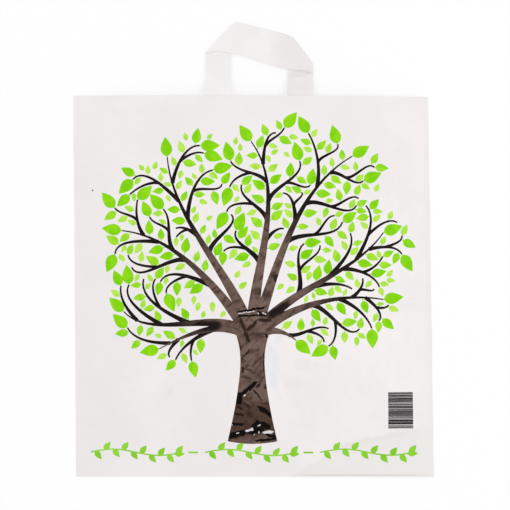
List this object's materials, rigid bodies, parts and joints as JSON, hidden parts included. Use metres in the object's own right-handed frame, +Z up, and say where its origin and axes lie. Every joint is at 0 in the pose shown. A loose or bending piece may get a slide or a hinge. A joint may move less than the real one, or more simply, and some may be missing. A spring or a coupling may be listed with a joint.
{
  "type": "plastic carrier bag",
  "caption": "Flat film carrier bag with soft folded loop handles and a leafy tree printed on its front, for carrying shopping.",
  "frame": {"origin": "under the middle of the bag and its handles, on the surface that the bag lies on", "axes": "+X across the bag to the right of the printed panel, +Y from the bag's bottom towards its mouth and handles, +Z up out of the printed front panel"},
  "size_m": [0.4, 0.5138, 0.0158],
  "materials": {
    "white_film": "white low-density polythene film, soft satin, slightly crinkled",
    "bark_ink": "brown-grey printed ink with black crinkles, glossy",
    "leaf_ink": "bright green printed ink, satin",
    "bar_ink": "dark grey printed ink, satin"
  },
  "bodies": {
    "root": {"bag_body": "white_film", "front_handle": "white_film", "rear_handle": "white_film", "tree_print": "bark_ink", "leaf_print": "leaf_ink", "border_spray_left": "leaf_ink", "border_spray_middle": "leaf_ink", "border_spray_right": "leaf_ink", "border_dash_left": "leaf_ink", "border_dash_right": "leaf_ink", "bar_print": "bar_ink"}
  },
  "joints": []
}
